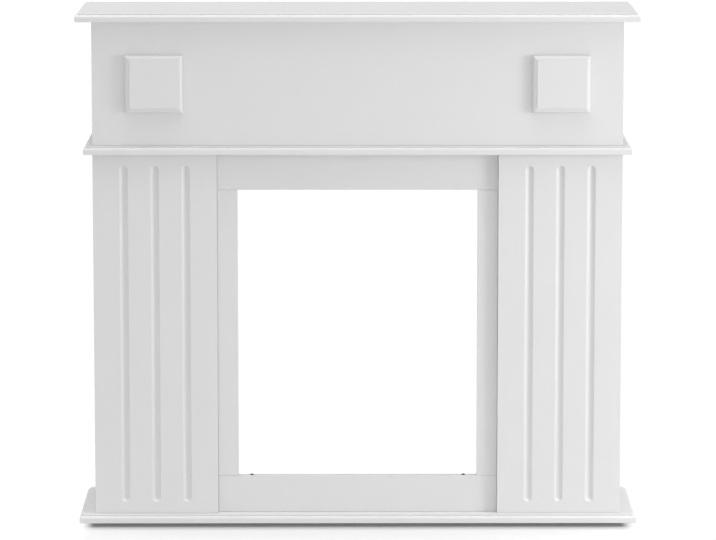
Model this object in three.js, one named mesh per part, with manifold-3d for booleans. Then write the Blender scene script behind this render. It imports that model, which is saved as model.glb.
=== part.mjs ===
// A freestanding fireplace mantelpiece of painted board, in millimetres.
// +X is to the right seen from the front, the front faces -Y, +Z is up, and the origin
// lies on the floor, under the middle of the top shelf.
import * as THREE from 'three';
import { mergeVertices } from 'three/addons/utils/BufferGeometryUtils.js';
import Module from 'manifold-3d';

// The whole mantelpiece, and the board that it is cut from
const overallWidth = 1100;
const overallDepth = 280;
const boardThickness = 16;
const seam = 0.3; // the hairline between two pieces that meet

// How far the top shelf and the base stand out past the body, and the middle shelf
const endOverhang = 31;
const frontOverhang = 20;
const midOverhang = 17;

// Clear heights between the three shelves
const legHeight = 717;
const friezeHeight = 244;

// The legs and their flutes
const pilasterWidth = 243;
const fluteCount = 3;
const fluteWidth = 16;
const fluteDepth = 5;
const fluteMargin = 23; // plain board above and below each flute

// The flat frame round the fire opening
const railHeight = 73;
const stileWidth = 40;

// The raised square blocks on the frieze
const blockSize = 112;
const blockThickness = 16;

// Routed edges: a quarter round, a small ledge and a step up to the flat face
const shelfEdge = { round: 5, ledge: 1.5, step: 2.5 };
const blockEdge = { round: 7, ledge: 1.5, step: 2 };

// Furniture glides under the base
const glideDiameter = 30;
const glideHeight = 8;
const glideChamfer = 1.5;
const glideInset = 55; // from the base's edges to the glide's centre

// The two screws in the bottom rail that hold the fire insert
const screwInset = 26; // from the side of the opening to the screw
const screwHeadDiameter = 7;
const screwHeadHeight = 1.6;
const screwHeadChamfer = 0.5;
const screwShankDiameter = 3.5;
const screwShankLength = 25;
const screwTipLength = 4;

// How finely round things are cut
const roundSteps = 6;
const cutterSides = 44;
const cutterCapSteps = 11;
const turnedSides = 32;

// Levels, from the floor up
const baseBottom = glideHeight;
const baseTop = baseBottom + boardThickness;
const midBottom = baseTop + legHeight;
const midTop = midBottom + boardThickness;
const shelfBottom = midTop + friezeHeight;
const openingBottom = baseTop + railHeight;
const openingTop = midBottom - railHeight;

// Places from front to back
const backFace = overallDepth / 2;
const bodyFront = -overallDepth / 2 + frontOverhang;
const bodyFrontInside = bodyFront + boardThickness;

// Distances to either side of the middle
const bodyHalfWidth = overallWidth / 2 - endOverhang;
const pilasterCentre = bodyHalfWidth - pilasterWidth / 2;
const pilasterInner = bodyHalfWidth - pilasterWidth;
const frameHalfWidth = pilasterInner - seam;
const openingHalfWidth = frameHalfWidth - stileWidth;
const screwAcross = openingHalfWidth - screwInset;

// What stands between two shelves keeps a seam to both, and so does what backs a front
const legSpan = [baseTop + seam, midBottom - seam];
const friezeSpan = [midTop + seam, shelfBottom - seam];
const behindFrontSpan = [bodyFrontInside + seam, backFace];

// Finishes
const satinPaint = { color: 0xf1f1ef, roughness: 0.42, metalness: 0 };
const darkSteel = { color: 0x2c2d2f, roughness: 0.45, metalness: 0.85 };
const glidePlastic = { color: 0x3b3b3d, roughness: 0.6, metalness: 0 };

const wasm = await Module();
wasm.setup();

const mantelpiece = new THREE.Group();

/** Adds one named piece, with a material of its own. */
function addPiece(name, geometry, finish, x, y, z) {
  const piece = new THREE.Mesh(geometry, new THREE.MeshStandardMaterial(finish));
  piece.name = name;
  piece.position.set(x, y, z);
  mantelpiece.add(piece);
}

/** A square-edged panel that fills a span from side to side, front to back and up. */
function addPanel(name, ...spans) {
  const size = spans.map(([low, high]) => high - low);
  const middle = spans.map(([low, high]) => (low + high) / 2);
  addPiece(name, new THREE.BoxGeometry(...size), satinPaint, ...middle);
}

/** Makes the same piece on the left, where side is -1, and on the right, where it is 1. */
function onBothSides(make) {
  make('left', -1);
  make('right', 1);
}

/** The span between two distances from the middle, on one side of it. */
function sideSpan(side, inner, outer) {
  return side > 0 ? [inner, outer] : [-outer, -inner];
}

/** A routed edge as [setback, height] steps, from the underside to the flat face. */
function edgeProfile(edge, thickness) {
  const ledgeHeight = thickness - edge.step;
  const profile = [[0, 0]];
  for (let i = 0; i <= roundSteps; i += 1) {
    const turn = (Math.PI / 2) * (i / roundSteps);
    const setback = edge.round * (1 - Math.cos(turn));
    profile.push([setback, ledgeHeight - edge.round * (1 - Math.sin(turn))]);
  }
  const shoulder = edge.round + edge.ledge;
  profile.push([shoulder, ledgeHeight], [shoulder, thickness]);
  return profile;
}

/**
 * A slab lying flat, with its edge routed and its corners mitred. Each step of the profile
 * is a rectangle drawn in by its setback. A slab that backs a wall keeps a square back edge.
 */
function mouldedSlab(width, depth, thickness, edge, backsWall) {
  const profile = edgeProfile(edge, thickness);
  const corners = [];
  for (const [setback, height] of profile) {
    const right = width / 2 - setback;
    const front = -depth / 2 + setback;
    const back = backsWall ? depth / 2 : -front;
    corners.push(-right, front, height, right, front, height);
    corners.push(right, back, height, -right, back, height);
  }
  const faces = [0, 2, 1, 0, 3, 2];
  for (let ring = 0; ring < profile.length - 1; ring += 1) {
    for (let corner = 0; corner < 4; corner += 1) {
      const a = ring * 4 + corner;
      const b = ring * 4 + ((corner + 1) % 4);
      faces.push(a, b, b + 4, a, b + 4, a + 4);
    }
  }
  const top = (profile.length - 1) * 4;
  faces.push(top, top + 1, top + 2, top, top + 2, top + 3);
  const geometry = new THREE.BufferGeometry();
  geometry.setAttribute('position', new THREE.Float32BufferAttribute(corners, 3));
  geometry.setIndex(faces);
  return geometry;
}

/** Turns a closed three.js geometry into a solid that can be cut. */
function toSolid(geometry) {
  const bare = geometry.clone();
  bare.deleteAttribute('normal');
  bare.deleteAttribute('uv');
  const merged = mergeVertices(bare);
  const vertProperties = new Float32Array(merged.attributes.position.array);
  const triVerts = new Uint32Array(merged.index.array);
  return new wasm.Manifold(new wasm.Mesh({ numProp: 3, vertProperties, triVerts }));
}

/** Takes every cutter out of a closed geometry, and gives back what is left. */
function cutAway(geometry, cutters) {
  const uncut = toSolid(geometry);
  const mesh = cutters.reduce((solid, cutter) => solid.subtract(toSolid(cutter)), uncut).getMesh();
  const cut = new THREE.BufferGeometry();
  cut.setAttribute('position', new THREE.Float32BufferAttribute(mesh.vertProperties, 3));
  cut.setIndex(Array.from(mesh.triVerts));
  return cut;
}

/** An outline of [radius, height] points, on the axis at both ends, turned about Z. */
function turned(outline) {
  const points = outline.map(([radius, height]) => new THREE.Vector2(radius, height));
  return new THREE.LatheGeometry(points, turnedSides).rotateX(Math.PI / 2);
}

/** The top shelf and the base, which are cut to the same size, and the middle shelf. */
function addShelves() {
  const full = mouldedSlab(overallWidth, overallDepth, boardThickness, shelfEdge, true);
  addPiece('base_board', full, satinPaint, 0, 0, baseBottom);
  addPiece('top_shelf', full.clone(), satinPaint, 0, 0, shelfBottom);
  const midWidth = 2 * (bodyHalfWidth + midOverhang);
  const midDepth = backFace - bodyFront + midOverhang;
  const mid = mouldedSlab(midWidth, midDepth, boardThickness, shelfEdge, true);
  addPiece('mid_shelf', mid, satinPaint, 0, backFace - midDepth / 2, midBottom);
}

/** The frieze box between the middle and the top shelf, open at the back. */
function addFrieze() {
  addPanel('frieze_panel', [-bodyHalfWidth, bodyHalfWidth], [bodyFront, bodyFrontInside], friezeSpan);
  const middle = (midTop + shelfBottom) / 2;
  onBothSides((label, side) => {
    const across = sideSpan(side, bodyHalfWidth - boardThickness, bodyHalfWidth);
    addPanel(`frieze_side_${label}`, across, behindFrontSpan, friezeSpan);
    const block = mouldedSlab(blockSize, blockSize, blockThickness, blockEdge, false);
    block.rotateX(Math.PI / 2);
    addPiece(`frieze_block_${label}`, block, satinPaint, side * pilasterCentre, bodyFront - seam, middle);
  });
}

/**
 * The fluted front of a leg. A round-nosed cutter runs up each flute with its centre held
 * off the board, so that it leaves a shallow cove of the wanted width, with round ends.
 */
function flutedPanel(height) {
  const noseRadius = (fluteWidth ** 2 / 4 + fluteDepth ** 2) / (2 * fluteDepth);
  const cutterCentre = -boardThickness / 2 + fluteDepth - noseRadius;
  const travel = height - 2 * fluteMargin - fluteWidth;
  const cutters = [];
  for (let i = 1; i <= fluteCount; i += 1) {
    const across = pilasterWidth * (i / (fluteCount + 1) - 0.5);
    const cutter = new THREE.CapsuleGeometry(noseRadius, travel, cutterCapSteps, cutterSides);
    cutters.push(cutter.rotateX(Math.PI / 2).translate(across, cutterCentre, 0));
  }
  return cutAway(new THREE.BoxGeometry(pilasterWidth, boardThickness, height), cutters);
}

/** Two hollow legs, each of a fluted front, an outer side and an inner cheek. */
function addLegs() {
  const [bottom, top] = legSpan;
  const front = (bodyFront + bodyFrontInside) / 2;
  onBothSides((label, side) => {
    const fluted = flutedPanel(top - bottom);
    addPiece(`pilaster_${label}`, fluted, satinPaint, side * pilasterCentre, front, (bottom + top) / 2);
    const outer = sideSpan(side, bodyHalfWidth - boardThickness, bodyHalfWidth);
    addPanel(`leg_side_${label}`, outer, behindFrontSpan, legSpan);
    const inner = sideSpan(side, pilasterInner, pilasterInner + boardThickness);
    addPanel(`leg_cheek_${label}`, inner, behindFrontSpan, legSpan);
  });
}

/** The bottom rail of the frame, bored from above for the two screws. */
function boredRail(height) {
  const rail = new THREE.BoxGeometry(2 * frameHalfWidth, boardThickness, height);
  const radius = screwShankDiameter / 2 + seam;
  const depth = screwShankLength + seam;
  const holes = [];
  onBothSides((label, side) => {
    const hole = new THREE.CylinderGeometry(radius, radius, 2 * depth, turnedSides);
    holes.push(hole.rotateX(Math.PI / 2).translate(side * screwAcross, 0, height / 2));
  });
  return cutAway(rail, holes);
}

/** The flat frame round the opening, set back by one board behind the leg fronts. */
function addInnerFrame() {
  const [bottom, top] = legSpan;
  const depthSpan = [bodyFrontInside, bodyFrontInside + boardThickness];
  const middle = (depthSpan[0] + depthSpan[1]) / 2;
  addPanel('lintel_rail', [-frameHalfWidth, frameHalfWidth], depthSpan, [openingTop, top]);
  const rail = boredRail(openingBottom - bottom);
  addPiece('bottom_rail', rail, satinPaint, 0, middle, (bottom + openingBottom) / 2);
  onBothSides((label, side) => {
    const across = sideSpan(side, openingHalfWidth, frameHalfWidth);
    addPanel(`stile_${label}`, across, depthSpan, [openingBottom + seam, openingTop - seam]);
    addPiece(`rail_screw_${label}`, screw(), darkSteel, side * screwAcross, middle, openingBottom + seam);
  });
}

/** A screw with a flat round head, its tip down and the head's underside at zero. */
function screw() {
  const head = screwHeadDiameter / 2;
  const shank = screwShankDiameter / 2;
  return turned([
    [0, -screwShankLength],
    [shank, screwTipLength - screwShankLength],
    [shank, 0],
    [head, 0],
    [head, screwHeadHeight - screwHeadChamfer],
    [head - screwHeadChamfer, screwHeadHeight],
    [0, screwHeadHeight],
  ]);
}

/** Four round glides, one under each corner of the base. */
function addGlides() {
  const radius = glideDiameter / 2;
  const top = baseBottom - seam;
  for (const [row, ahead] of [['front', -1], ['back', 1]]) {
    onBothSides((label, side) => {
      const glide = turned([
        [0, 0],
        [radius - glideChamfer, 0],
        [radius, glideChamfer],
        [radius, top],
        [0, top],
      ]);
      const across = side * (overallWidth / 2 - glideInset);
      const along = ahead * (overallDepth / 2 - glideInset);
      addPiece(`glide_${row}_${label}`, glide, glidePlastic, across, along, 0);
    });
  }
}

addShelves();
addFrieze();
addLegs();
addInnerFrame();
addGlides();

export default mantelpiece;
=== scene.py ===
# %% [markdown]
# # A painted fireplace mantelpiece
# The real object is a box of boards: three shelves with a routed edge, a frieze with two raised
# blocks, two hollow legs with fluted fronts, and a flat frame round the fire opening.
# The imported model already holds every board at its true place, so each visible piece below is
# made from its board's box and then stands in for it. All sizes are in millimetres until a mesh
# is stored, because board work is measured in millimetres.

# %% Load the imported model
import math

import bmesh
import bpy
import numpy as np
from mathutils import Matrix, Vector


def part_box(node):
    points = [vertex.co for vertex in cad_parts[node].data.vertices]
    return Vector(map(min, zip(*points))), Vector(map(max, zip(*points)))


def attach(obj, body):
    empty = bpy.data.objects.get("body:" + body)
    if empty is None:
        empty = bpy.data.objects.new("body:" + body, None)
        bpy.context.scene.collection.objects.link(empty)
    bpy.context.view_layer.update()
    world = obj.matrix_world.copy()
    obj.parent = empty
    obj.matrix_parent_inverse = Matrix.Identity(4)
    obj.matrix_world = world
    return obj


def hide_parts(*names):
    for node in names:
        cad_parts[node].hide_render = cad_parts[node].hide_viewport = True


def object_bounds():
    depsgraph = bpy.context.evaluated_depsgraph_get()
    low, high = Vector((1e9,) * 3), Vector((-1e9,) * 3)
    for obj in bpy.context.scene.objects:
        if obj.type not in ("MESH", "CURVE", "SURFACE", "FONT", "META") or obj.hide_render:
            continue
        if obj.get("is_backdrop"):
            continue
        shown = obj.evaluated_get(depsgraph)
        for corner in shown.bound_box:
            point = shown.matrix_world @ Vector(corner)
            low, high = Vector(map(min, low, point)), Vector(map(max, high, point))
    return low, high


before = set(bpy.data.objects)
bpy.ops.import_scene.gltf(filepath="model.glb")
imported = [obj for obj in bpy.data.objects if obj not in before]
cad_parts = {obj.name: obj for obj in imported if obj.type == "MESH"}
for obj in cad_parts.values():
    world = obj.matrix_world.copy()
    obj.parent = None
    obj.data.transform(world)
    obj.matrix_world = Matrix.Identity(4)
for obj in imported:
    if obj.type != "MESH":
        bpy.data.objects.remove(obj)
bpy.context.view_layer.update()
print("boards and fittings:", len(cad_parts))

# %% [markdown]
# ## The camera
# A long lens from about eight metres, higher than the shelf, looks down a little.
# Place, tilt and lens come from fitting the corners of the boards to the photograph. A shifted
# lens would keep the uprights parallel, but it would push the object out of every other view.

# %% Camera
camera_place = (-0.0251, -8.14, 1.7307)
look_down = math.radians(8.644)
look_right = math.radians(0.184)
lens_mm = 207.66
sensor_mm = 36.0

camera_data = bpy.data.cameras.new("front_camera")
camera_data.lens = lens_mm
camera_data.sensor_width = sensor_mm
camera = bpy.data.objects.new("front_camera", camera_data)
camera.location = camera_place
camera.rotation_euler = (math.pi / 2 - look_down, 0.0, -look_right)
bpy.context.scene.collection.objects.link(camera)
bpy.context.scene.camera = camera
print("camera at", camera_place, "lens", lens_mm)

# %% [markdown]
# ## The white paint
# Satin paint on fibreboard is smooth but not perfect. It has the faint dimples of a sprayed coat,
# long shallow waves, and small changes of sheen. Routed edges drink more paint, so they are a
# little duller than the flats. The inner corner of their step gets a painted shade: its colour is
# made a darker grey there, where a real corner would hold shadow.
# A picture of paint would repeat and blur close up, so the dimples and waves are noise. It reads
# Object coordinates, which keeps it fixed to the board. The mesh says with two attributes where
# it was routed and where that inner corner, the crease, runs, which is where the painted shade goes.

# %% A helper for node trees
def new_finish(name):
    """An empty material with its shader, and a short way to add a node to it."""
    material = bpy.data.materials.new(name)
    material.use_nodes = True
    nodes = material.node_tree.nodes
    links = material.node_tree.links
    shader = nodes["Principled BSDF"]

    def add(kind, inputs=None, **settings):
        """Adds one node. A value that is a socket is linked, and any other is set."""
        node = nodes.new(kind)
        for key, value in settings.items():
            setattr(node, key, value)
        for key, value in (inputs or {}).items():
            if isinstance(value, bpy.types.NodeSocket):
                links.new(value, node.inputs[key])
            else:
                node.inputs[key].default_value = value
        return node

    return material, shader, links, add


# %% White paint: its tone
paint_light = (0.765, 0.762, 0.763, 1.0)
paint_deep = (0.745, 0.742, 0.743, 1.0)
# painted shade: the grey that the inner corner of each routed step is painted
shade_painted_in_creases = (0.58, 0.577, 0.578, 1.0)
sheen_patches_per_metre = 9.0

painted_board, shader, links, add = new_finish("painted_board_finish")
place = add("ShaderNodeTexCoord").outputs["Object"]
patches = add("ShaderNodeTexNoise",
              {"Vector": place, "Scale": sheen_patches_per_metre, "Detail": 3.0})
tone = add("ShaderNodeMix", {"Factor": patches.outputs["Fac"], "A": paint_light, "B": paint_deep},
           data_type="RGBA")
# painted shade: the base colour goes darker along the crease of each routed step
painted_crease_shade = add("ShaderNodeAttribute", attribute_name="painted_crease_shade").outputs["Fac"]
with_painted_crease_shade = add("ShaderNodeMix", {"Factor": painted_crease_shade, "A": tone.outputs["Result"],
                                "B": shade_painted_in_creases}, data_type="RGBA")
links.new(with_painted_crease_shade.outputs["Result"], shader.inputs["Base Color"])
print("paint reflects about", round(sum(paint_light[:3]) / 3, 3))

# %% White paint: its sheen and surface
satin_roughness, dull_roughness = 0.33, 0.43
more_where_routed = 0.12
dimples_per_metre, dimple_strength, dimple_depth = 620.0, 0.25, 0.00012
waves_per_metre, wave_strength, wave_depth = 22.0, 0.08, 0.0003

routed = add("ShaderNodeAttribute", attribute_name="routed").outputs["Fac"]
flat_sheen = add("ShaderNodeMapRange", {"Value": patches.outputs["Fac"],
                                        "From Min": 0.3, "From Max": 0.7,
                                        "To Min": satin_roughness, "To Max": dull_roughness})
sheen = add("ShaderNodeMath", {0: routed, 1: more_where_routed, 2: flat_sheen.outputs["Result"]},
            operation="MULTIPLY_ADD")
links.new(sheen.outputs["Value"], shader.inputs["Roughness"])

dimples = add("ShaderNodeTexNoise",
              {"Vector": place, "Scale": dimples_per_metre, "Detail": 2.0, "Roughness": 0.55})
waves = add("ShaderNodeTexNoise", {"Vector": place, "Scale": waves_per_metre, "Detail": 2.0})
wave_bump = add("ShaderNodeBump", {"Height": waves.outputs["Fac"], "Strength": wave_strength,
                                   "Distance": wave_depth})
dimple_bump = add("ShaderNodeBump", {"Height": dimples.outputs["Fac"],
                                     "Strength": dimple_strength, "Distance": dimple_depth,
                                     "Normal": wave_bump.outputs["Normal"]})
links.new(dimple_bump.outputs["Normal"], shader.inputs["Normal"])
print("roughness", satin_roughness, "to", dull_roughness, "and", more_where_routed, "more if routed")

# %% [markdown]
# ## Dark steel and dark plastic
# The two screws have a black oxide skin: nearly black, mostly metallic, with a rubbed grain.
# The glides under the base are ordinary moulded plastic, matt and finely grained. Both are small,
# so a fine grain in tone and sheen or in bump is enough, and no mesh detail is spent on them.

# %% Black steel
oxide_black = (0.035, 0.035, 0.038, 1.0)
rubbed_steel = (0.07, 0.07, 0.075, 1.0)
steel_grain_per_metre = 2600.0
polished_roughness, oxide_roughness = 0.32, 0.55
steel_metallic = 0.8

screw_steel, shader, links, add = new_finish("screw_steel_finish")
place = add("ShaderNodeTexCoord").outputs["Object"]
grain = add("ShaderNodeTexNoise",
            {"Vector": place, "Scale": steel_grain_per_metre, "Detail": 3.0})
tone = add("ShaderNodeMix", {"Factor": grain.outputs["Fac"], "A": oxide_black,
                             "B": rubbed_steel}, data_type="RGBA")
links.new(tone.outputs["Result"], shader.inputs["Base Color"])
sheen = add("ShaderNodeMapRange", {"Value": grain.outputs["Fac"], "To Min": polished_roughness,
                                   "To Max": oxide_roughness})
links.new(sheen.outputs["Result"], shader.inputs["Roughness"])
shader.inputs["Metallic"].default_value = steel_metallic
print("steel roughness", polished_roughness, "to", oxide_roughness)

# %% Dark plastic
plastic_dark = (0.085, 0.085, 0.09, 1.0)
plastic_light = (0.1, 0.1, 0.105, 1.0)
plastic_grain_per_metre, plastic_grain_strength, plastic_grain_depth = 1500.0, 0.4, 0.0001
plastic_roughness = 0.62

glide_plastic, shader, links, add = new_finish("glide_plastic_finish")
place = add("ShaderNodeTexCoord").outputs["Object"]
grain = add("ShaderNodeTexNoise",
            {"Vector": place, "Scale": plastic_grain_per_metre, "Detail": 2.0})
tone = add("ShaderNodeMix", {"Factor": grain.outputs["Fac"], "A": plastic_dark,
                             "B": plastic_light}, data_type="RGBA")
links.new(tone.outputs["Result"], shader.inputs["Base Color"])
grain_bump = add("ShaderNodeBump", {"Height": grain.outputs["Fac"],
                                    "Strength": plastic_grain_strength,
                                    "Distance": plastic_grain_depth})
links.new(grain_bump.outputs["Normal"], shader.inputs["Normal"])
shader.inputs["Roughness"].default_value = plastic_roughness
print("finishes:", [m.name for m in (painted_board, screw_steel, glide_plastic)])

# %% [markdown]
# ## From arrays to a piece
# Every shape below is one or more grids of points with four-sided faces between them. Grids
# that share an edge have the same points there, so merging equal points closes the shell.
# The printed volume tells two things: it is above zero only where the faces point outwards,
# and it can be compared with length times width times thickness.

# %% Grids, joining and storing
finishes = {"painted_board": painted_board, "screw_steel": screw_steel,
            "glide_plastic": glide_plastic}
merge_mm = 0.002


def grid_faces(rows, columns):
    """Faces between neighbouring points of a grid: (i, j), (i+1, j), (i+1, j+1), (i, j+1)."""
    index = np.arange(rows * columns).reshape(rows, columns)
    corners = [index[:-1, :-1], index[1:, :-1], index[1:, 1:], index[:-1, 1:]]
    return np.stack(corners, axis=-1).reshape(-1, 4)


def ring_faces(rings, sides):
    """Faces between closed rings that run anticlockwise, each further out or up than the last."""
    index = np.arange(rings * sides).reshape(rings, sides)
    after = np.roll(index, -1, axis=1)
    corners = [index[:-1], after[:-1], after[1:], index[1:]]
    return np.stack(corners, axis=-1).reshape(-1, 4)


def joined(shells):
    """Several (points, faces) as one, the faces' numbers moved on by the points before them."""
    counts = np.cumsum([0] + [len(points) for points, _ in shells])
    faces = [faces + start for (_, faces), start in zip(shells, counts)]
    return np.concatenate([points for points, _ in shells]), np.concatenate(faces)


def facing_front(points):
    """Turns a shape that was drawn facing up so that it faces the viewer: (u, v, w) to (u, -w, v)."""
    return np.stack([points[:, 0], -points[:, 2], points[:, 1]], axis=1)


def store(node, slot, points, faces, caps=(), marks=None):
    """Makes the piece that stands for a board: mesh in metres, smooth, closed, with its finish."""
    mesh = bpy.data.meshes.new(f"{node}_shape")
    polygons = faces.tolist() + [list(cap) for cap in caps]
    mesh.from_pydata((points / 1000.0).tolist(), [], polygons)
    for name, values in (marks or {}).items():
        layer = mesh.attributes.new(name, "FLOAT", "POINT")
        layer.data.foreach_set("value", values.astype(np.float32))
    shell = bmesh.new()
    shell.from_mesh(mesh)
    bmesh.ops.remove_doubles(shell, verts=shell.verts, dist=merge_mm / 1000.0)
    closed = all(edge.is_manifold for edge in shell.edges)
    litres = shell.calc_volume(signed=True) * 1000.0
    shell.to_mesh(mesh)
    shell.free()
    mesh.shade_smooth()
    mesh.materials.append(finishes[slot])
    piece = bpy.data.objects.new(f"{node}_finished", mesh)
    bpy.context.scene.collection.objects.link(piece)
    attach(piece, "root")
    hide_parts(node)
    print(f"{node}: {len(mesh.polygons)} faces, {litres:.3f} litres, closed {closed}")
    return piece


def box_mm(node):
    """Lowest and highest corner of a board, in millimetres."""
    low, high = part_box(node)
    return np.array(low) * 1000.0, np.array(high) * 1000.0


# %% [markdown]
# ## Plain boards
# A sawn and painted board is a box whose edges, the arrises, are sanded to a radius of about
# half a millimetre. That small radius catches the light and makes the fine lines where boards
# meet. A Bevel modifier would round them too, but a formula also tells where the flutes' grids
# have to meet the board's, so the same formula makes every board.
# A point p of the sharp box is pulled to c + r (p - c) / |p - c|. Here c is the point nearest
# to p in the box drawn in by r. Grid lines lie at even angles round each arris, and one more
# line just inside it keeps the shading of the flat exact.

# %% Softened boxes
arris_mm = 0.5
arris_steps = 4
hold_mm = 0.35


def board_lines(low, high, arris, between=()):
    """Grid lines across a board: r (1 - tan a) from each end for a from 45 to 0 degrees,
    a holding line beyond, and any lines wanted between."""
    angles = np.linspace(math.pi / 4, 0.0, arris_steps + 1)
    near = np.append(arris * (1.0 - np.tan(angles)), arris + hold_mm)
    return np.unique(np.round(np.concatenate([low + near, between, high - near]), 6))


def box_shells(low, high, arris, between=((), (), ())):
    """The six faces of the sharp box as grids: a dictionary from (axis, side) to points, faces."""
    lines = [board_lines(low[k], high[k], arris, between[k]) for k in range(3)]
    shells = {}
    for axis in range(3):
        a, b = (axis + 1) % 3, (axis + 2) % 3
        u, v = np.meshgrid(lines[a], lines[b], indexing="ij")
        for side, level in enumerate((low[axis], high[axis])):
            points = np.empty(u.shape + (3,))
            points[..., a], points[..., b], points[..., axis] = u, v, level
            faces = grid_faces(*u.shape)
            shells[axis, side] = points.reshape(-1, 3), faces if side else faces[:, ::-1]
    return shells


def softened(points, low, high, arris):
    """p goes to c + r (p - c) / |p - c|, with c the nearest point of the box drawn in by r."""
    core = np.clip(points, low + arris, high - arris)
    away = points - core
    return core + arris * away / np.linalg.norm(away, axis=1, keepdims=True)


def plain_board(node, arris=arris_mm):
    """A board with softened arrises in the place of a node."""
    low, high = box_mm(node)
    points, faces = joined(list(box_shells(low, high, arris).values()))
    return store(node, "painted_board", softened(points, low, high, arris), faces)


# %% [markdown]
# ## The frieze box, the legs' sides and the frame round the opening
# These are all plain boards. The frieze is a shallow box with an open back. Each leg is a box
# too: a fluted front, an outer side and a hidden inner cheek. Two rails and two stiles make the
# flat frame that the trim of a fire lies against.

# %% Plain boards of the mantelpiece
frame_arris_mm = 0.6
frieze_arris_mm = 0.3
plain_board("frieze_panel", frieze_arris_mm)
for board in ("frieze_side", "leg_side", "leg_cheek"):
    for hand in ("left", "right"):
        plain_board(f"{board}_{hand}")
for board in ("lintel_rail", "bottom_rail", "stile_left", "stile_right"):
    plain_board(board, frame_arris_mm)

# %% [markdown]
# ## The fluted leg fronts
# A flute is the track of a round-nosed cutter that is lowered into the board, run along it and
# lifted out, so it has the same round section all the way and a round end. With d the distance
# from the line the cutter's middle follows, the depth is sqrt(R^2 - d^2) - (R - depth).
# Rings of points round that line follow the flute's edge exactly, also round its ends, and the
# last ring is the rectangle of board that the flute has to itself. The rest of the front is the
# plain grid of the board. A boolean cut would leave long thin faces, which shade badly on satin.

# %% Flute sizes
flute_count = 3
flute_width = 16.0
flute_depth = 5.0
flute_margin = 23.0
rest_beyond = 12.0
lip_softness = 0.35
level_beyond = 0.8 * flute_width
# Rings near the lip, by their distance from the flute's edge.
lip_rings = np.array([-0.25, -0.1, 0.0, 0.1, 0.25, 0.6, 1.4, 4.8, 5.4])
bed_rings = 10
corner_rays, end_rays, side_rays = 5, 13, 13
tiny = 1e-9
nose_radius = (flute_width ** 2 / 4 + flute_depth ** 2) / (2 * flute_depth)
print("cutter nose radius", round(nose_radius, 2), "mm")


def flute_depth_at(d):
    """Depth of the cut at distance d: h = sqrt(R^2 - d^2) - (R - depth) inside, carried on as a
    straight slope outside, and eased at the lip as (h + sqrt(h^2 + k^2)) / 2."""
    half = flute_width / 2
    slope = half / math.sqrt(nose_radius ** 2 - half ** 2)
    inside = np.sqrt(nose_radius ** 2 - np.minimum(d, half) ** 2) - (nose_radius - flute_depth)
    height = np.where(d < half, inside, -slope * (d - half))
    eased = (height + np.sqrt(height ** 2 + lip_softness ** 2)) / 2
    return np.where(d > level_beyond, 0.0, eased)


# %% Rings round one flute
def flute_rings(middle, foot, head, half_cell, end_cell):
    """Rings round the line from (middle, foot) to (middle, head): root + ray * d for each
    distance d, and last the rectangle, where d is the least of W / |cos| and H / |sin|."""
    corner = math.atan2(end_cell, half_cell)
    quarter = np.linspace(0.0, corner, corner_rays)
    turn = np.concatenate([quarter[1:], np.linspace(corner, math.pi - corner, end_rays)[1:-1],
                           math.pi - quarter[::-1][:-1]])
    rise = np.linspace(foot, head, side_rays)
    angle = np.concatenate([np.zeros(rise.size), turn, np.full(rise.size, math.pi), turn + math.pi])
    root = np.concatenate([rise, np.full(turn.size, head), rise[::-1], np.full(turn.size, foot)])
    ray = np.stack([np.cos(angle), np.sin(angle)], axis=1)
    safe = np.maximum(np.abs(ray), tiny)
    reach = np.minimum(half_cell / safe[:, 0], end_cell / safe[:, 1])
    widest = math.asin(flute_width / 2 / nose_radius)
    bed = nose_radius * np.sin(np.linspace(0.0, widest, bed_rings + 1)[:-1])
    near = np.concatenate([bed, flute_width / 2 + lip_rings])[:, None] * np.ones(angle.size)
    distance = np.vstack([near, reach])
    across = middle + distance * ray[:, 0]
    up = root + distance * ray[:, 1]
    points = np.stack([across, flute_depth_at(distance), up], axis=-1).reshape(-1, 3)
    return points, ring_faces(*distance.shape)[:, ::-1], across[-1], up[-1]


# %% Leg fronts
def fluted_board(node, arris=arris_mm):
    """A plain board whose front has a window, filled by the rings of each flute."""
    low, high = box_mm(node)
    pitch = (high[0] - low[0]) / (flute_count + 1)
    foot = low[2] + flute_margin + flute_width / 2
    head = high[2] - flute_margin - flute_width / 2
    end_cell = flute_width / 2 + rest_beyond
    cuts = [flute_rings(low[0] + pitch * (i + 1), foot, head, pitch / 2, end_cell)
            for i in range(flute_count)]
    across = np.concatenate([cut[2] for cut in cuts])
    up = cuts[0][3]
    shells = box_shells(low, high, arris, (across, (), up))
    front_points, front_faces = shells.pop((1, 0))
    centres = front_points[front_faces].mean(axis=1)
    in_window = ((centres[:, 0] > across.min()) & (centres[:, 0] < across.max())
                 & (centres[:, 2] > up.min()) & (centres[:, 2] < up.max()))
    solid = joined(list(shells.values()) + [(front_points, front_faces[~in_window])])
    rounded = softened(solid[0], low, high, arris)
    grooves = [(points + [0.0, low[1], 0.0], faces) for points, faces, _, _ in cuts]
    points, faces = joined([(rounded, solid[1])] + grooves)
    return store(node, "painted_board", points, faces)


for hand in ("left", "right"):
    fluted_board(f"pilaster_{hand}")

# %% [markdown]
# ## Shelves and blocks with a routed edge
# The edge is cut by a rounding cutter that also leaves a small step at the top, so from below
# it reads: square edge, quarter round, narrow ledge, step, flat. The cutter runs along the
# front and both ends of a shelf, and all round a block. The profile is a list of (setback,
# height), and each of its points becomes a ring of the board's outline drawn in by the setback.
# That gives the mitred corners of the real moulding. A Bevel modifier can round an edge but
# can't leave the step, so the profile is written out.

# %% The routed profile
ease_mm = 0.5
inner_ease_mm = 0.15
round_steps = 8


def eased_corner(before, corner, after, steps=4):
    """A corner softened by the curve (1-t)^2 A + 2 t (1-t) P + t^2 B, from A to B round P."""
    t = np.linspace(0.0, 1.0, steps + 1)[:, None]
    a, p, b = map(np.array, (before, corner, after))
    return (1 - t) ** 2 * a + 2 * t * (1 - t) * p + t ** 2 * b


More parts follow.
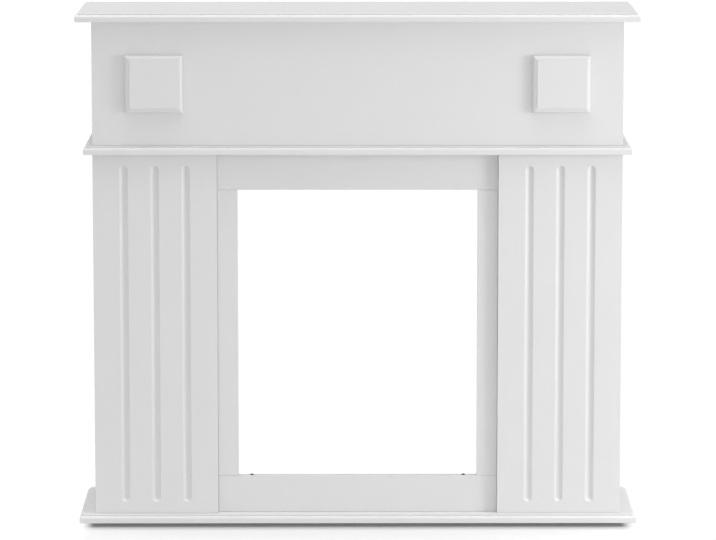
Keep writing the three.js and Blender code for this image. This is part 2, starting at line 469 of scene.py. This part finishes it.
def routed_profile(thickness, radius, ledge, step):
    """(setback, height) from under the board, round the edge, to the flat on top. The last
    column is the setback of a back edge that is left square."""
    e, hold = ease_mm, hold_mm
    ledge_level = thickness - step
    shoulder = radius + ledge
    angle = np.linspace(0.0, math.pi / 2, round_steps + 1)
    quarter = np.stack([radius * (1 - np.cos(angle)),
                        ledge_level - radius * (1 - np.sin(angle))], axis=1)
    parts = [
        [(e + hold, 0.0)],
        eased_corner((e, 0.0), (0.0, 0.0), (0.0, e)),
        [(0.0, e + hold), (0.0, ledge_level - radius - hold)],
        quarter,
        eased_corner((shoulder - inner_ease_mm, ledge_level), (shoulder, ledge_level),
                     (shoulder, ledge_level + inner_ease_mm)),
        eased_corner((shoulder, thickness - e), (shoulder, thickness), (shoulder + e, thickness)),
        [(shoulder + e + hold, thickness)],
    ]
    profile = np.concatenate([np.array(part, dtype=float) for part in parts])
    top = profile[:, 1] >= thickness - e - tiny
    bottom = profile[:, 1] <= e + tiny
    square = np.where(bottom, profile[:, 0], np.where(top, profile[:, 0] - shoulder, 0.0))
    return profile[:, 0], profile[:, 1], square


# %% Carrying the profile round a board
corner_mm = 0.8
corner_steps = 4


def outline_corners():
    """Points near the four corners of an outline, as steps from the sharp corner: a holding
    point, an arc of radius r about (-r, -r) turned by quarters, and a holding point."""
    signs = np.array([[1, -1], [1, 1], [-1, 1], [-1, -1]], dtype=float)
    start = np.array([-1, 0, 1, 2]) * math.pi / 2
    angle = start[:, None] + np.linspace(0.0, math.pi / 2, corner_steps + 1)
    arc = np.stack([np.cos(angle), np.sin(angle)], axis=-1) * corner_mm
    arc = arc - signs[:, None, :] * corner_mm
    onward = np.stack([-np.sin(angle), np.cos(angle)], axis=-1) * hold_mm
    first = arc[:, :1] - onward[:, :1]
    last = arc[:, -1:] + onward[:, -1:]
    steps = np.concatenate([first, arc, last], axis=1)
    return np.repeat(signs, corner_steps + 3, axis=0), steps.reshape(-1, 2)


def routed_shell(width, depth, thickness, radius, ledge, step, square_back):
    """Rings of the outline, drawn in by each setback of the profile, with a flat cap at each end."""
    setback, height, square = routed_profile(thickness, radius, ledge, step)
    signs, steps = outline_corners()
    back = square if square_back else setback
    across = signs[:, 0] * (width / 2 - setback[:, None]) + steps[:, 0]
    inward = np.where(signs[:, 1] > 0, back[:, None], setback[:, None])
    along = signs[:, 1] * (depth / 2 - inward) + steps[:, 1]
    up = np.broadcast_to(height[:, None], across.shape)
    points = np.stack([across, along, up], axis=-1).reshape(-1, 3)
    rings, sides = across.shape
    caps = [range(sides - 1, -1, -1), range((rings - 1) * sides, rings * sides)]
    on_back = square_back & (along > depth / 2 - corner_mm / 2)
    on_edge = (inward < radius + ledge) & (up > ease_mm) & (up < thickness - ease_mm) & ~on_back
    # the crease mark says where the paint gets its painted shade: the step's inner corner, fading up
    # the riser
    at_riser = (np.abs(setback - radius - ledge) <= inner_ease_mm)[:, None] & ~on_back
    under_flat = np.clip((thickness - up) / step, 0.0, 1.0) * (up < thickness)
    marks = {"routed": on_edge.reshape(-1).astype(float),
             "painted_crease_shade": (at_riser * under_flat).reshape(-1)}
    return points, ring_faces(rings, sides), caps, marks


# %% The three shelves
shelf_round, shelf_ledge, shelf_step = 5.0, 1.5, 2.5
for shelf in ("base_board", "mid_shelf", "top_shelf"):
    low, high = box_mm(shelf)
    width, depth, thickness = high - low
    points, faces, caps, marks = routed_shell(width, depth, thickness, shelf_round, shelf_ledge,
                                              shelf_step, True)
    points += [(low[0] + high[0]) / 2, (low[1] + high[1]) / 2, low[2]]
    store(shelf, "painted_board", points, faces, caps, marks)

# %% The two raised blocks
block_round, block_ledge, block_step = 7.0, 1.5, 2.0
for hand in ("left", "right"):
    low, high = box_mm(f"frieze_block_{hand}")
    width, thickness, tall = high - low
    points, faces, caps, marks = routed_shell(width, tall, thickness, block_round, block_ledge,
                                              block_step, False)
    points = facing_front(points) + [(low[0] + high[0]) / 2, high[1], (low[2] + high[2]) / 2]
    store(f"frieze_block_{hand}", "painted_board", points, faces, caps, marks)

# %% [markdown]
# ## Screws and glides
# Both are turned shapes: a profile of (radius, height) carried once round an axis. A profile
# that starts and ends on the axis closes itself, so no pole is left open. The screw's head has
# a cross recess, which is a fall in height that depends on the place on the head.

# %% Turned shapes
def turned_shell(radius, height, sides):
    """Point (k, j) is (r_k cos a_j, r_k sin a_j, h_k), with a_j evenly round the circle."""
    angle = np.arange(sides) * (2 * math.pi / sides)
    across = np.outer(radius, np.cos(angle))
    along = np.outer(radius, np.sin(angle))
    up = np.outer(height, np.ones(sides))
    points = np.stack([across, along, up], axis=-1).reshape(-1, 3)
    return points, ring_faces(len(radius), sides)


# %% Screw sizes and the cross recess
turned_sides = 64
head_radius, head_height = 3.5, 1.6
rim_round, dome_rise = 0.5, 0.2
shank_radius, shank_length, tip_length = 1.75, 25.0, 4.0
neck_length, seat_inset = 0.2, 0.1
recess_half_width, recess_half_length, recess_depth = 0.45, 1.9, 1.1
arm_side_slope, arm_end_slope = 0.25, 0.8
recess_from = head_height - 0.25


def cross_recess(across, along):
    """Depth of the recess: full where a point lies in either arm, falling to 0 over its edge."""
    def arm(side, reach):
        beside = np.clip((recess_half_width - np.abs(side)) / arm_side_slope + 0.5, 0.0, 1.0)
        beyond = np.clip((recess_half_length - np.abs(reach)) / arm_end_slope + 0.5, 0.0, 1.0)
        return beside * beyond
    return recess_depth * np.maximum(arm(across, along), arm(along, across))


# %% The two screws
rim = np.linspace(0.0, math.pi / 2, 6)
dome = np.linspace(head_radius - rim_round, 0.0, 15)
radius = np.concatenate([
    [0.0, shank_radius, shank_radius, shank_radius, head_radius - seat_inset],
    head_radius - rim_round + rim_round * np.cos(rim),
    dome[1:]])
height = np.concatenate([
    [-shank_length, tip_length - shank_length, -neck_length, 0.0, 0.0],
    head_height - rim_round - dome_rise + rim_round * np.sin(rim),
    head_height - dome_rise * (dome[1:] / dome[0]) ** 2])
for hand in ("left", "right"):
    node = f"rail_screw_{hand}"
    low, high = box_mm(node)
    points, faces = turned_shell(radius, height, turned_sides)
    on_head = points[:, 2] > recess_from
    points[:, 2] -= np.where(on_head, cross_recess(points[:, 0], points[:, 1]), 0.0)
    seat = [(low[0] + high[0]) / 2, (low[1] + high[1]) / 2, high[2] - head_height]
    store(node, "screw_steel", points + seat, faces)

# %% The four glides
foot_radius, foot_round, foot_hold = 15.0, 3.0, 0.3
top_round = 0.4
for row in ("front", "back"):
    for hand in ("left", "right"):
        node = f"glide_{row}_{hand}"
        low, high = box_mm(node)
        top = high[2] - low[2]
        sole = np.array([(0.0, 0.0), (foot_radius - foot_round - foot_hold, 0.0)])
        below = eased_corner((foot_radius - foot_round, 0.0), (foot_radius, 0.0),
                             (foot_radius, foot_round), 8)
        above = eased_corner((foot_radius, top - top_round), (foot_radius, top),
                             (foot_radius - top_round, top))
        lid = np.array([(foot_radius - 2 * top_round, top), (0.0, top)])
        line = np.concatenate([sole, below, above, lid])
        points, faces = turned_shell(line[:, 0], line[:, 1], turned_sides)
        centre = [(low[0] + high[0]) / 2, (low[1] + high[1]) / 2, low[2]]
        store(node, "glide_plastic", points + centre, faces)

# %% [markdown]
# ## Floor, sky and lamp
# The floor is clean white to the camera, like a lit sheet. Only under the base board and just in
# front of it there is a patch of paper, where the shadow of the board falls as a dark band. That
# paper is also painted darker towards the board, a painted shadow that widens the band.
# The patch blends into the lit sheet at its ends, its back and its front, and glows a little.
# What the floor sends up to the mantelpiece is set apart from what the camera sees. The floor
# is a grey there, with a lighter strip in front that brightens the face of the base board. It
# is the Light Path node that tells the two apart. Seen from below the floor is clear, or it
# would hide the underside.
# A broad lamp stands low on the right and a little in front, so each raised block throws a soft
# shadow to its left. The rest comes from a soft sky, brightest overhead and stronger in front.

# %% Floor mesh
floor_half = 14.0
floor_mesh = bpy.data.meshes.new("studio_floor")
corners = [(-floor_half, -floor_half, 0.0), (floor_half, -floor_half, 0.0),
           (floor_half, floor_half, 0.0), (-floor_half, floor_half, 0.0)]
floor_mesh.from_pydata(corners, [], [(0, 1, 2, 3)])
floor = bpy.data.objects.new("studio_floor", floor_mesh)
bpy.context.scene.collection.objects.link(floor)
floor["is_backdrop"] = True
print("floor", 2 * floor_half, "m across")

# %% Floor: the paper
white_to_camera = 1.03
# painted shadow: the paper seen by the camera goes from 0.8 down to 0.4 as it nears the base board
shadow_painted_paper, open_paper = 0.4, 0.8
painted_shadow_starts_at, open_at = -0.138, -0.172
sent_up_far, sent_up_near = 0.61, 0.74
far_at, near_at = -0.45, -0.25

floor_white, shader, links, add = new_finish("studio_floor_white")
seen = add("ShaderNodeLightPath").outputs["Is Camera Ray"]
place = add("ShaderNodeTexCoord").outputs["Object"]
parts = add("ShaderNodeSeparateXYZ", {"Vector": place})
# painted shadow on the floor, darker towards the base board, for camera rays only
painted_foot_shadow = add("ShaderNodeMapRange", {"Value": parts.outputs["Y"], "From Min": painted_shadow_starts_at,
                                        "From Max": open_at, "To Min": shadow_painted_paper,
                                        "To Max": open_paper})


def eased_step(value, start, end, low=0.0, high=1.0):
    """Goes smoothly from low to high while the value goes from start to end."""
    step = add("ShaderNodeMapRange", {"Value": value, "From Min": start, "From Max": end,
                                      "To Min": low, "To Max": high},
               interpolation_type="SMOOTHSTEP")
    return step.outputs["Result"]


sent_up = eased_step(parts.outputs["Y"], far_at, near_at, sent_up_far, sent_up_near)
paper = add("ShaderNodeMix", {"Factor": seen, "A": sent_up, "B": painted_foot_shadow.outputs["Result"]},
            data_type="RGBA")
links.new(paper.outputs["Result"], shader.inputs["Base Color"])
shader.inputs["Roughness"].default_value = 0.9
shader.inputs["Specular IOR Level"].default_value = 0.0
print("paper sends up", sent_up_far, "and near the front", sent_up_near)

# %% Floor: the lit sheet round the paper
ends_from, ends_to = 0.515, 0.55
back_from, back_to = 0.12, 0.15
front_from, front_to = -0.150, -0.400
paper_glow = 0.12


def floor_sum(operation, first, second=0.0):
    """The result of one operation on two values or sockets."""
    return add("ShaderNodeMath", {0: first, 1: second}, operation=operation).outputs["Value"]


past_ends = eased_step(floor_sum("ABSOLUTE", parts.outputs["X"]), ends_from, ends_to)
past_back = eased_step(parts.outputs["Y"], back_from, back_to)
past_front = eased_step(parts.outputs["Y"], front_from, front_to)
around = floor_sum("MAXIMUM", floor_sum("MAXIMUM", past_ends, past_back), past_front)
shown = floor_sum("MULTIPLY", floor_sum("MAXIMUM", around, paper_glow), seen)
lit_sheet = add("ShaderNodeEmission", {"Strength": white_to_camera})
blend = add("ShaderNodeMixShader", {0: shown, 1: shader.outputs["BSDF"],
                                    2: lit_sheet.outputs["Emission"]})
underneath = add("ShaderNodeNewGeometry").outputs["Backfacing"]
clear = add("ShaderNodeBsdfTransparent")
one_way = add("ShaderNodeMixShader", {0: floor_sum("MULTIPLY", underneath, seen),
                                      1: blend.outputs["Shader"], 2: clear.outputs["BSDF"]})
surface = floor_white.node_tree.nodes["Material Output"].inputs["Surface"]
links.new(one_way.outputs["Shader"], surface)
floor_mesh.materials.append(floor_white)
print("paper", 2 * ends_from, "m wide, then the lit sheet")

# %% Sky
sky_round, sky_overhead, sky_front = 0.77, 4.9, 1.17
overhead_narrowness, round_fade = 9.0, 2.0
sky = bpy.data.worlds.new("studio_sky")
sky.use_nodes = True
bpy.context.scene.world = sky
nodes, links = sky.node_tree.nodes, sky.node_tree.links


def sky_sum(operation, first, second):
    """The result of one operation on two values or sockets."""
    node = nodes.new("ShaderNodeMath")
    node.operation = operation
    for socket, value in zip(node.inputs, (first, second)):
        if isinstance(value, bpy.types.NodeSocket):
            links.new(value, socket)
        else:
            socket.default_value = value
    return node.outputs["Value"]


# With z up and y back, the glow is round (1 - z)^2 + overhead z^9 + front max(-y, 0) z.
direction = nodes.new("ShaderNodeTexCoord")
parts = nodes.new("ShaderNodeSeparateXYZ")
links.new(direction.outputs["Generated"], parts.inputs["Vector"])
height = sky_sum("MAXIMUM", parts.outputs["Z"], 0.0)
overhead = sky_sum("MULTIPLY", sky_sum("POWER", height, overhead_narrowness), sky_overhead)
all_round = sky_sum("POWER", sky_sum("SUBTRACT", 1.0, height), round_fade)
frontal = sky_sum("MAXIMUM", sky_sum("MULTIPLY", parts.outputs["Y"], -1.0), 0.0)
high_front = sky_sum("MULTIPLY", sky_sum("MULTIPLY", frontal, height), sky_front)
glow = sky_sum("ADD", sky_sum("MULTIPLY", all_round, sky_round), overhead)
glow = sky_sum("ADD", glow, high_front)
seen = nodes.new("ShaderNodeLightPath").outputs["Is Camera Ray"]
unseen_glow = sky_sum("MULTIPLY", glow, sky_sum("SUBTRACT", 1.0, seen))
links.new(sky_sum("ADD", unseen_glow, sky_sum("MULTIPLY", seen, white_to_camera)),
          nodes["Background"].inputs["Strength"])
nodes["Background"].inputs["Color"].default_value = (1.0, 1.0, 1.0, 1.0)
print("sky: round", sky_round, "overhead", sky_overhead, "front", sky_front)

# %% Lamp
lamp_place = Vector((2.35, -1.25, 0.95))
lamp_aim = Vector((0.0, -0.1, 0.60))
lamp_size = 0.75
lamp_watts = 23.5
lamp_data = bpy.data.lights.new("broad_lamp", "AREA")
lamp_data.shape = "SQUARE"
lamp_data.size = lamp_size
lamp_data.energy = lamp_watts
lamp = bpy.data.objects.new("broad_lamp", lamp_data)
lamp.location = lamp_place
lamp.rotation_euler = (lamp_aim - lamp_place).to_track_quat("-Z", "Y").to_euler()
lamp.visible_camera = False
bpy.context.scene.collection.objects.link(lamp)
bpy.context.scene.view_settings.view_transform = "Standard"
print("lamp", lamp_watts, "W at", tuple(round(c, 2) for c in lamp_place))

# %% [markdown]
# ## Measure and finish
# The dressed mantelpiece must be the size of the imported model, so the box of the scene is printed.

# %% Sizes and the end
low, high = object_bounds()
print("scene box:", [round(v, 4) for v in low], [round(v, 4) for v in high])
